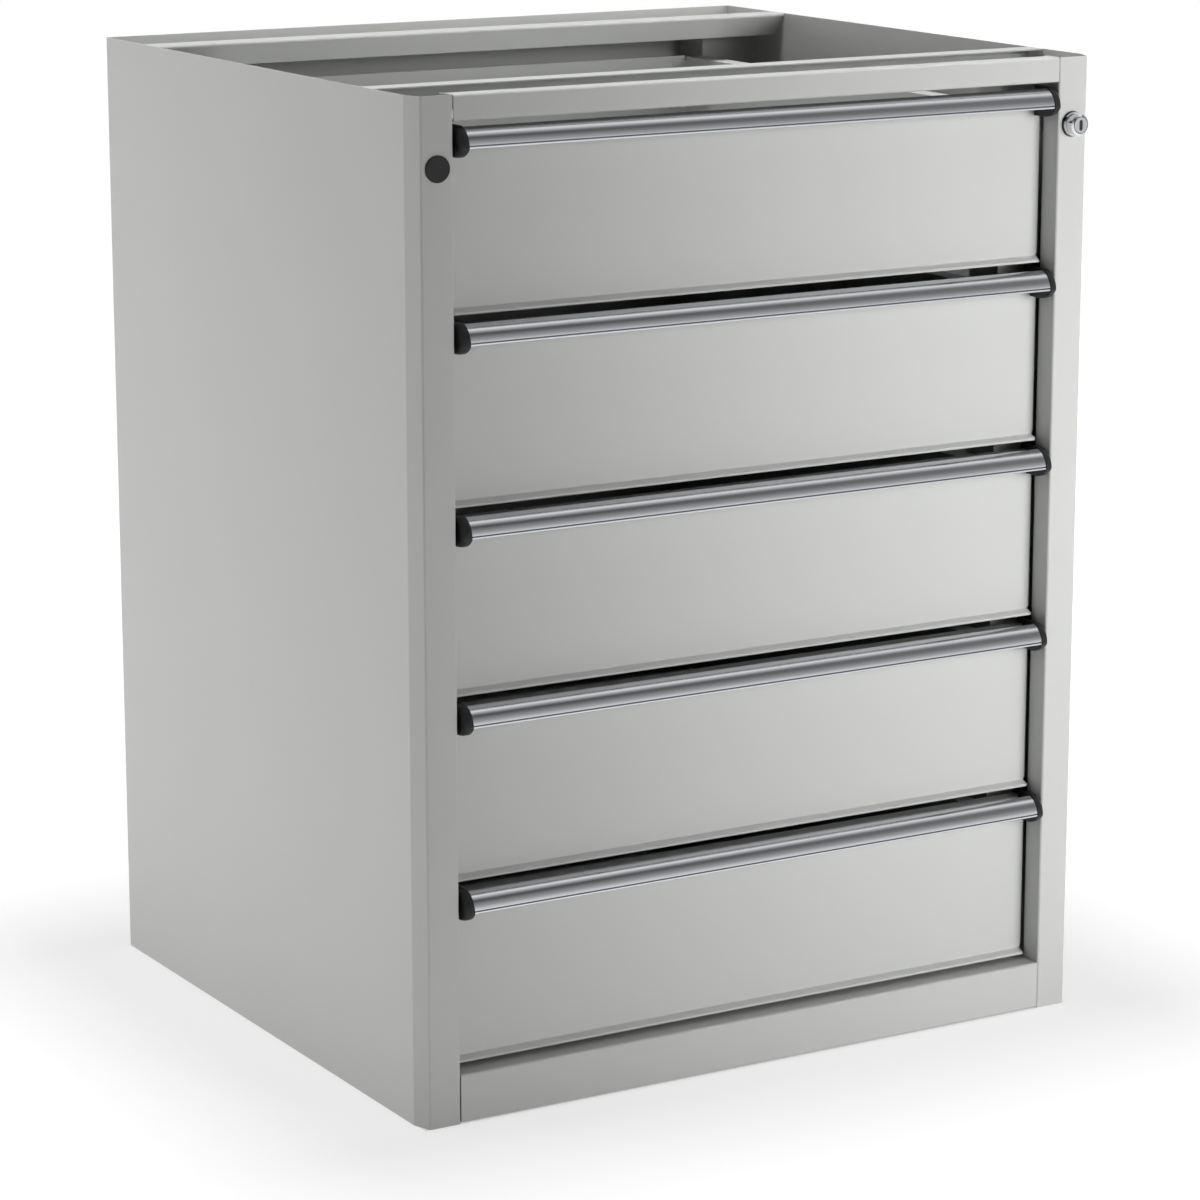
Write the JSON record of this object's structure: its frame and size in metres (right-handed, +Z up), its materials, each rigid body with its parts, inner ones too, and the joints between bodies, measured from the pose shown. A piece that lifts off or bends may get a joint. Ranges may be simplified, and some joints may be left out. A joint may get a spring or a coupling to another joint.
{
  "type": "drawer cabinet",
  "caption": "Steel under-worktop drawer cabinet with equal recessed drawers, full-width curved grip strips with dark end caps, an open top with lipped rails, and a front lock.",
  "frame": {"origin": "on the floor, below the middle of the whole object's box", "axes": "+Z up, drawers open along -Y, +X to the right of a person facing the drawers"},
  "size_m": [0.62, 0.562, 0.8],
  "materials": {
    "grey_paint": "light grey powder coat, fine matt texture",
    "aluminium": "satin anodised",
    "black_plastic": "satin moulded",
    "chrome": "polished",
    "zinc": "zinc plated"
  },
  "bodies": {
    "carcass": {"left_side_panel": "grey_paint", "right_side_panel": "grey_paint", "back_panel": "grey_paint", "base_pan": "grey_paint", "top_front_rail": "grey_paint", "top_rear_rail": "grey_paint", "runner_posts": "grey_paint", "lock_case": "chrome", "lock_nut": "zinc", "hole_plug": "black_plastic", "bar_guides": "black_plastic", "drawer_1_outer_rails": "zinc", "drawer_2_outer_rails": "zinc", "drawer_3_outer_rails": "zinc", "drawer_4_outer_rails": "zinc", "drawer_5_outer_rails": "zinc"},
    "drawer_1": {"drawer_1_front": "grey_paint", "drawer_1_tray": "grey_paint", "drawer_1_back": "grey_paint", "drawer_1_handle": "aluminium", "drawer_1_end_caps": "black_plastic", "drawer_1_inner_rails": "zinc", "drawer_1_catch": "zinc"},
    "middle_rails_1": {"drawer_1_middle_rails": "zinc"},
    "drawer_2": {"drawer_2_front": "grey_paint", "drawer_2_tray": "grey_paint", "drawer_2_back": "grey_paint", "drawer_2_handle": "aluminium", "drawer_2_end_caps": "black_plastic", "drawer_2_inner_rails": "zinc", "drawer_2_catch": "zinc"},
    "middle_rails_2": {"drawer_2_middle_rails": "zinc"},
    "drawer_3": {"drawer_3_front": "grey_paint", "drawer_3_tray": "grey_paint", "drawer_3_back": "grey_paint", "drawer_3_handle": "aluminium", "drawer_3_end_caps": "black_plastic", "drawer_3_inner_rails": "zinc", "drawer_3_catch": "zinc"},
    "middle_rails_3": {"drawer_3_middle_rails": "zinc"},
    "drawer_4": {"drawer_4_front": "grey_paint", "drawer_4_tray": "grey_paint", "drawer_4_back": "grey_paint", "drawer_4_handle": "aluminium", "drawer_4_end_caps": "black_plastic", "drawer_4_inner_rails": "zinc", "drawer_4_catch": "zinc"},
    "middle_rails_4": {"drawer_4_middle_rails": "zinc"},
    "drawer_5": {"drawer_5_front": "grey_paint", "drawer_5_tray": "grey_paint", "drawer_5_back": "grey_paint", "drawer_5_handle": "aluminium", "drawer_5_end_caps": "black_plastic", "drawer_5_inner_rails": "zinc", "drawer_5_catch": "zinc"},
    "middle_rails_5": {"drawer_5_middle_rails": "zinc"},
    "lock": {"lock_barrel": "chrome", "lock_cam": "zinc"},
    "lock_bar": {"locking_bar": "zinc", "locking_tabs": "zinc"}
  },
  "joints": [
    {"name": "drawer_1_slide", "type": "slide", "parent": "carcass", "child": "drawer_1", "axis": [0, -1, 0], "range_m": [0, 0.45]},
    {"name": "middle_rails_1_slide", "type": "slide", "parent": "carcass", "child": "middle_rails_1", "axis": [0, -1, 0], "range_m": [0, 0.225]},
    {"name": "drawer_2_slide", "type": "slide", "parent": "carcass", "child": "drawer_2", "axis": [0, -1, 0], "range_m": [0, 0.45]},
    {"name": "middle_rails_2_slide", "type": "slide", "parent": "carcass", "child": "middle_rails_2", "axis": [0, -1, 0], "range_m": [0, 0.225]},
    {"name": "drawer_3_slide", "type": "slide", "parent": "carcass", "child": "drawer_3", "axis": [0, -1, 0], "range_m": [0, 0.45]},
    {"name": "middle_rails_3_slide", "type": "slide", "parent": "carcass", "child": "middle_rails_3", "axis": [0, -1, 0], "range_m": [0, 0.225]},
    {"name": "drawer_4_slide", "type": "slide", "parent": "carcass", "child": "drawer_4", "axis": [0, -1, 0], "range_m": [0, 0.45]},
    {"name": "middle_rails_4_slide", "type": "slide", "parent": "carcass", "child": "middle_rails_4", "axis": [0, -1, 0], "range_m": [0, 0.225]},
    {"name": "drawer_5_slide", "type": "slide", "parent": "carcass", "child": "drawer_5", "axis": [0, -1, 0], "range_m": [0, 0.45]},
    {"name": "middle_rails_5_slide", "type": "slide", "parent": "carcass", "child": "middle_rails_5", "axis": [0, -1, 0], "range_m": [0, 0.225]},
    {"name": "lock_turn", "type": "hinge", "parent": "carcass", "child": "lock", "pos_m": [0.2907, -0.269, 0.746], "axis": [0, 1, 0], "range_deg": [0, 90]},
    {"name": "lock_bar_lift", "type": "slide", "parent": "carcass", "child": "lock_bar", "axis": [0, 0, 1], "range_m": [0, 0.0099]}
  ],
  "couplings": [
    {"joint": "middle_rails_1_slide", "follows": "drawer_1_slide", "ratio": 0.5},
    {"joint": "middle_rails_2_slide", "follows": "drawer_2_slide", "ratio": 0.5},
    {"joint": "middle_rails_3_slide", "follows": "drawer_3_slide", "ratio": 0.5},
    {"joint": "middle_rails_4_slide", "follows": "drawer_4_slide", "ratio": 0.5},
    {"joint": "middle_rails_5_slide", "follows": "drawer_5_slide", "ratio": 0.5},
    {"joint": "lock_turn", "follows": "lock_bar_lift", "rad_per_m": 158.67}
  ]
}
